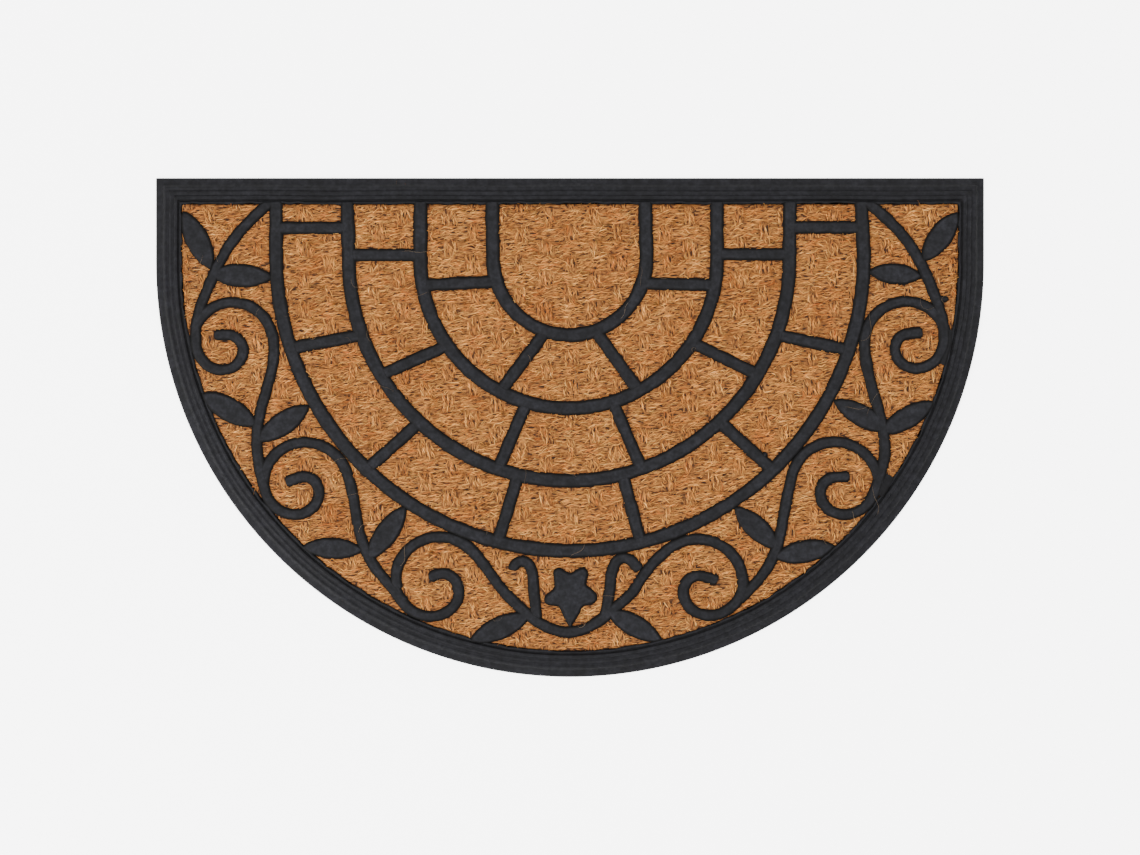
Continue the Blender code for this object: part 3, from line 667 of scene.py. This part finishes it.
def coir_mesh():
    """Columns across, each spread from the round to the straight edge; walls and a flat underside."""
    half = OUTER_RADIUS - COIR_EDGE
    columns, rows = GROUND_COLUMNS, GROUND_ROWS
    u = np.linspace(-1, 1, columns)[None, :]
    v = np.linspace(0, 1, rows)[:, None]
    x = half * u + 0 * v
    low = ROUND_CENTRE_Y - np.sqrt(np.maximum(0, half ** 2 - x ** 2))
    y = low + (TOP_EDGE_Y - COIR_EDGE - low) * v
    z, upright, _ = surface(x, y)
    top = np.stack([x, y, z - GROUND_DROP], axis=-1).reshape(-1, 3)
    number = np.arange(rows * columns).reshape(rows, columns)
    rim = np.concatenate([number[0, :-1], number[:-1, -1], number[-1, :0:-1], number[:0:-1, 0]])
    bottom = top[rim].copy()
    bottom[:, 2] = COIR_BOTTOM
    below = rows * columns + np.arange(len(rim))
    walls = np.column_stack([rim, below, np.roll(below, -1), np.roll(rim, -1)])
    faces = grid_quads(rows, columns).tolist() + walls.tolist() + [below[::-1].tolist()]
    return np.vstack([top, bottom]), faces, np.concatenate([upright.ravel(), np.zeros(len(rim), bool)])


COIR_PATCHES = 22.0  # across, paler and darker by turns
COIR_ROUGH = 1.4  # the fibres' fuzz; the real one, of about 0.3, is too fine to show
COIR_GAP_SHADE = (6.0, 1.2, 3.3)  # length, width and height of a dark mark between fibres, painted shade of the gaps


def coir_material(name, tinted):
    """Retted coconut fibre spun into yarn: dull golden brown, with darker and redder fibres in it.

    Strands bring a tint each. The ground has dark marks, painted shade of the gaps between fibres,
    that run at a slant to its yarns.
    """
    made, tree, shader = new_material(name)
    place = add(tree, "ShaderNodeTexCoord").outputs["Object"]
    broad, fine = [
        add(tree, "ShaderNodeTexNoise", {"Vector": place, "Scale": scale_of(size), "Detail": detail})
        for size, detail in ((COIR_PATCHES, 3.0), (COIR_ROUGH, 4.0))]
    if tinted:
        own = add(tree, "ShaderNodeAttribute", attribute_name="tint").outputs["Color"]
    else:
        fibres = []
        long, wide, high = [scale_of(size) for size in COIR_GAP_SHADE]
        for turned, stretch in ((0.25, (long, wide, high)), (-0.3, (wide, long, high))):
            laid = add(tree, "ShaderNodeMapping", {
                "Vector": place, "Rotation": (0, 0, -turned), "Scale": stretch})
            marks = add(tree, "ShaderNodeTexNoise", {
                "Vector": laid.outputs[0], "Scale": 1.0, "Detail": 2.0, "Distortion": 0.6})
            fibres.append(marks.outputs["Fac"])
        upright = add(tree, "ShaderNodeAttribute", attribute_name="upright").outputs["Fac"]
        lain = add(tree, "ShaderNodeMix", {"Factor": upright, 2: fibres[0], 3: fibres[1]})
        # Painted shade: the darkest stops are the gaps between fibres; the lightest is the coir's own
        # brown.
        own = ramp(tree, lain.outputs[0], [(0.4, "#2c1708"), (0.49, "#764922"), (0.62, "#ad7338")])
    shade = ramp(tree, broad.outputs["Fac"], [(0.3, "#e4dad2"), (0.7, "#ffffff")])
    mixed = add(tree, "ShaderNodeMix", {"Factor": 1.0}, data_type="RGBA", blend_type="MULTIPLY")
    tree.links.new(own, mixed.inputs[6])
    tree.links.new(shade, mixed.inputs[7])
    tree.links.new(mixed.outputs[2], shader.inputs["Base Color"])
    rough = add(tree, "ShaderNodeMapRange", {
        "Value": fine.outputs["Fac"], "To Min": 0.7, "To Max": 0.95})
    tree.links.new(rough.outputs["Result"], shader.inputs["Roughness"])
    relief = add(tree, "ShaderNodeBump", {
        "Height": fine.outputs["Fac"], "Distance": 0.4 * MM, "Strength": 0.6})
    tree.links.new(relief.outputs["Normal"], shader.inputs["Normal"])
    shader.inputs["Specular IOR Level"].default_value = 0.25
    return made


points, faces, panel_upright = coir_mesh()
ground_finish = coir_material("woven_coir_ground", False)
panel = piece("coir_weave", points, faces, ground_finish, "coir_panel", "woven_coir")
upright = panel.data.attributes.new("upright", "FLOAT", "POINT")
upright.data.foreach_set("value", panel_upright.astype(np.float32))


# Strands. Each yarn is a loose twist of stiff coconut fibres, so its strands cross it at a slant, wind
# over its crest and dip between it and the next yarn, and each strand has a brown of its own.
REDDER = np.array([0.1, 0.24, 0.3])  # taken off red, green and blue where the yarn is redder
FIBRE_CAST = (1.0, 0.96, 0.86)  # brings the browns to the photo's under these lamps
FIBRE_COLOURS = (
    "#e3a65c", "#dc9c54", "#d29049", "#c98541", "#e0a75f", "#bd7738", "#c6773b", "#9e602b", "#ebb771")
FIBRE_SHARES = (0.18, 0.19, 0.17, 0.13, 0.12, 0.08, 0.06, 0.03, 0.04)
STRAND_SHADES = (0.84, 1.56)
STRAND_MESHES, STRANDS_EACH = 4, 9400
STRAND_LENGTHS_UPRIGHT, STRAND_LENGTHS_LEVEL = (5, 11), (6, 14)
STRAND_WIDTHS = (0.32, 0.82)
STRAND_POINTS = 4
STRAND_FLATNESS = 0.5
STRAND_SLANT, SLANT_SPREAD = 0.27, 0.28  # run across for each millimetre along the yarn
STRAY_SHARE, STRAY_SPREAD = 0.16, 1.3  # strands that lie quite another way
STRAND_CORNERS = (-0.35, np.pi / 2, np.pi + 0.35)  # round the tube; the flat side lies below
STRAND_TOP = 7.3  # of a strand that lies over a rib's foot
STRAND_OVER_LIP, STRAND_UNDER_LIP = 7.6, 4.2
PIT_DEPTH = 0.7
fibre_colours = np.array([linear(colour) for colour in FIBRE_COLOURS])


def strand_mesh(path, width, flatness):
    """Three sided tubes round paths, an array of strands by points, with narrow, closed ends.

    A tube's width is the root of one less the fifth power of the way from its middle to its end.
    """
    count, steps = path.shape[:2]
    along = np.gradient(path[..., :2], axis=1)
    along /= np.hypot(along[..., 0], along[..., 1])[..., None]
    side = np.stack([-along[..., 1], along[..., 0]], axis=-1)
    s = np.linspace(-1, 1, steps)
    thick = width[:, None] * np.sqrt(np.maximum(0.04, 1 - np.abs(s) ** 5)) / 2
    corners = []
    for angle in STRAND_CORNERS:
        plan = path[..., :2] + side * (math.cos(angle) * thick)[..., None]
        z = path[..., 2] + math.sin(angle) * thick * flatness
        corners.append(np.concatenate([plan, z[..., None]], axis=-1))
    points = np.stack(corners, axis=2)
    ring = np.arange(3)
    quads = grid_quads(steps, 3, closed=True)
    first = (np.arange(count) * steps * 3)[:, None, None]
    faces = (quads[None] + first).reshape(-1, 4).tolist()
    caps = np.stack([ring[::-1], ring + (steps - 1) * 3])
    return points.reshape(-1, 3), faces + (caps[None] + first).reshape(-1, 3).tolist()


def pits(x, y):
    """Share of a pit, from 0 on the yarn to 1 in the small gaps that open here and there."""
    return np.clip(2.2 * waves(x, y, 5.5, 31) - 0.8, 0, 1)


def strand_paths(count, source):
    """Strands at random places, moved most of the way to the crest of the yarn that is on top there.

    Each runs along its yarn at a slant, as a shallow parabola with a sine on it. Its height is the
    surface's, more on the crest and less at its ends.
    """
    x = source.uniform(-351, 351, count * 3)
    y = source.uniform(-202, 202, count * 3)
    keep = (edge_distance(x, y) > 0.4) & (rib_distance(x, y) > -1.2)
    keep &= (pits(x, y) < 0.4) | (source.random(len(x)) < 0.25)
    x, y = x[keep][:count, None], y[keep][:count, None]
    count = len(x)
    _, top, offset = weave(x, y)
    gather = source.uniform(0.3, 1.0, (count, 1))
    x = np.where(top, x - offset * gather, x)
    y = np.where(top, y, y - offset * gather)
    upright_length = source.uniform(*STRAND_LENGTHS_UPRIGHT, (count, 1))
    level_length = source.uniform(*STRAND_LENGTHS_LEVEL, (count, 1))
    length = np.where(top, upright_length, level_length)
    s = np.linspace(-1, 1, STRAND_POINTS)[None, :]
    slope = source.normal(STRAND_SLANT, SLANT_SPREAD, (count, 1)) * np.where(top, -1, 1)
    stray = source.random((count, 1)) < STRAY_SHARE
    slope = slope + stray * source.normal(0, STRAY_SPREAD, (count, 1))
    bow = source.normal(0, 1.1, (count, 1))
    wave = source.normal(0, 0.7, (count, 1))
    phase = source.uniform(0, 6.28, (count, 1))
    along = s * length / 2
    across = slope * along + bow * (s * s - 0.4) + wave * np.sin(2.8 * s + phase)
    px = np.where(top, x + across, x + along)
    py = np.where(top, y + along, y + across)
    z, over, press = surface(px, py)
    crest = 0.35 - 0.15 * np.minimum(across ** 2, 6)
    lift = source.uniform(-0.15, 0.45, (count, 1))
    z = z + crest + lift * (1 - s ** 4) - 0.35 * s ** 4 - (over != top) * 0.25 - 0.45 * press
    z = z - PIT_DEPTH * pits(px, py) - 0.8 * source.random((count, STRAND_POINTS)) ** 3
    away = rib_distance(px, py)
    z = np.where((away < 0.2) & (away > -0.6) & (lift > 0.38), np.maximum(z, STRAND_TOP), z)
    inner = edge_distance(px, py)
    over_lip = (lift > 0.35) & (inner > -0.8)
    z = np.where(inner < 0, np.where(over_lip, STRAND_OVER_LIP, STRAND_UNDER_LIP), z)
    return np.stack([px, py, z], axis=-1), press


def strand_tints(path, press, source):
    """Each strand's brown, redder in places, and painted shade low down, in pits and beside rubber.

    The painted shadow under the lip follows the lip's wander and is wider along the straight edge.
    """
    count = len(path)
    pick = source.choice(len(fibre_colours), count, p=FIBRE_SHARES)
    shade = source.uniform(*STRAND_SHADES, count)
    x, y = path[:, 1, 0], path[:, 1, 1]
    red = np.clip(1.6 * waves(x, y, 52, 21) + 0.8 * waves(x, y, 17, 22) - 0.35, 0, 1)
    hue = 1 - red[:, None] * REDDER
    colour = fibre_colours[pick, :3] * shade[:, None] * hue * FIBRE_CAST
    # Painted shade: strands low in the weave, beside a rib, under the lip and in pits are darkened.
    depth = np.clip((path[..., 2] + 0.6 * press - 6.1) / 1.1, 0, 1)
    x, y = path[..., 0], path[..., 1]
    rib_shade = 1 - np.clip((rib_distance(x, y) - 0.2 - 0.7 * waves(x, y, 7, 24)) / 1.6, 0, 1)
    lip = edge_distance(x, y) + 0.5 - 1.3 * (y > 190) - 1.2 * waves(x, y, 13, 3)
    lip = 1 - np.clip(lip / 1.3, 0, 1)
    light = (0.42 + 0.58 * depth) * (1 - 0.35 * rib_shade) * (1 - 0.7 * lip)
    light = light * (1 - 0.8 * pits(x, y))
    colour = colour[:, None, :] * light[..., None]
    return np.concatenate([colour, np.ones_like(light)[..., None]], axis=-1)


def strand_piece(name, path, tints, width, flatness):
    """The mesh piece of many strands, with the tint of each station on its three points."""
    points, faces = strand_mesh(path, width, flatness)
    obj = piece(name, points, faces, strand_finish, "coir_panel", "woven_coir")
    tint = obj.data.attributes.new("tint", "FLOAT_COLOR", "POINT")
    tint.data.foreach_set("color", np.repeat(tints, 3, axis=1).ravel())
    return obj


strand_finish = coir_material("woven_coir_strand", True)
for part in range(STRAND_MESHES):
    source = np.random.default_rng(100 + part)
    path, press = strand_paths(STRANDS_EACH, source)
    tints = strand_tints(path, press, source)
    width = source.uniform(*STRAND_WIDTHS, len(path))
    strand_piece(f"coir_strands_{part + 1}", path, tints, width, STRAND_FLATNESS)


# Loose hairs. Single coconut fibres have worked out of the yarn and got caught on the mat. They lie in
# slack curves over coir and rubber, and show as a few thin lines, duller than the yarn.
HAIRS = 70
HAIR_LENGTHS = (9, 34)
HAIR_WIDTHS = (0.14, 0.22)
HAIR_POINTS = 9
HAIR_TONE = "#b39a7c"


def hair_paths(count, source):
    """Arcs of random turn that lie just over what is under them and rise a little in the middle."""
    x = source.uniform(-345, 345, count * 3)
    y = source.uniform(-195, 205, count * 3)
    keep = edge_distance(x, y) > 1
    x, y = x[keep][:count, None], y[keep][:count, None]
    count = len(x)
    s = np.linspace(-1, 1, HAIR_POINTS)[None, :]
    length = source.uniform(*HAIR_LENGTHS, (count, 1))
    start = source.uniform(0, 2 * np.pi, (count, 1))
    turn_by = source.normal(0, 1.6, (count, 1))
    direction = start + turn_by * s + 0.35 * np.sin(3 * s + start)
    step = length / (HAIR_POINTS - 1)
    px = x + np.cumsum(np.cos(direction) * step, axis=1) - np.cos(start) * length / 2
    py = y + np.cumsum(np.sin(direction) * step, axis=1) - np.sin(start) * length / 2
    on_rubber = (rib_distance(px, py) < 0.6) | (edge_distance(px, py) < 1)
    z = np.where(on_rubber, RIB_TOP + 0.2, COIR_MEAN + 0.75)
    z = z + 0.25 * (1 - s ** 2) * source.uniform(0.2, 1.6, (count, 1))
    return np.stack([px, py, z], axis=-1)


source = np.random.default_rng(7)
path = hair_paths(HAIRS, source)
tone = np.array(linear(HAIR_TONE)[:3]) * source.uniform(0.25, 0.85, (len(path), 1, 1))
tints = np.concatenate([
    np.repeat(tone, HAIR_POINTS, axis=1), np.ones((len(path), HAIR_POINTS, 1))], axis=-1)
width = source.uniform(*HAIR_WIDTHS, len(path))
strand_piece("coir_hairs", path, tints, width, 1.0)


# Floor, light and camera, in metres. The photo is a cut-out on white, lit softly from all round and a
# little more from the lower left. The floor glows, so that it shows nearly as white.
FLOOR_SIZE = 40.0
FLOOR_DROP = 0.6 * MM
FLOOR_GLOW = 5.0
CAMERA_HEIGHT = 2.440
CAMERA_LENS = 85.0
bpy.ops.mesh.primitive_plane_add(size=FLOOR_SIZE, location=(0, 0, -FLOOR_DROP))
floor = bpy.context.object
floor.name = "floor"
paper, tree, shader = new_material("pale_floor")
shader.inputs["Base Color"].default_value = linear("#fbfbfb")
shader.inputs["Roughness"].default_value = 0.9
shader.inputs["Emission Color"].default_value = (1.0, 1.0, 1.0, 1.0)
shader.inputs["Emission Strength"].default_value = FLOOR_GLOW
floor.data.materials.append(paper)

world = bpy.data.worlds.new("studio")
bpy.context.scene.world = world
world.use_nodes = True
sky = world.node_tree
way = add(sky, "ShaderNodeSeparateXYZ", {0: add(sky, "ShaderNodeTexCoord").outputs["Generated"]})
rise = add(sky, "ShaderNodeMapRange", {
    "Value": way.outputs["Z"], "From Min": 0.1, "From Max": 0.7, "To Min": 0.45, "To Max": 1.75})
sky.links.new(rise.outputs["Result"], sky.nodes["Background"].inputs["Strength"])
sky.nodes["Background"].inputs["Color"].default_value = (1.0, 1.0, 1.0, 1.0)


def lamp(name, place, size, power):
    """Square area light that faces the mat's middle."""
    data = bpy.data.lights.new(name, "AREA")
    data.size = size
    data.energy = power
    obj = bpy.data.objects.new(name, data)
    bpy.context.collection.objects.link(obj)
    x, y, z = place
    obj.location = place
    obj.rotation_euler = (math.atan2(math.hypot(x, y), z), 0.0, math.atan2(x, -y))


lamp("soft_left", (-1.9, -1.2, 1.5), 1.2, 70.0)
lamp("soft_right", (1.7, 0.6, 2.2), 1.6, 15.0)

view_camera = bpy.data.cameras.new("camera")
view_camera.lens = CAMERA_LENS
view_camera.sensor_width = 36.0
camera = bpy.data.objects.new("camera", view_camera)
bpy.context.collection.objects.link(camera)
camera.location = (0.0, 0.0, CAMERA_HEIGHT)
bpy.context.scene.camera = camera
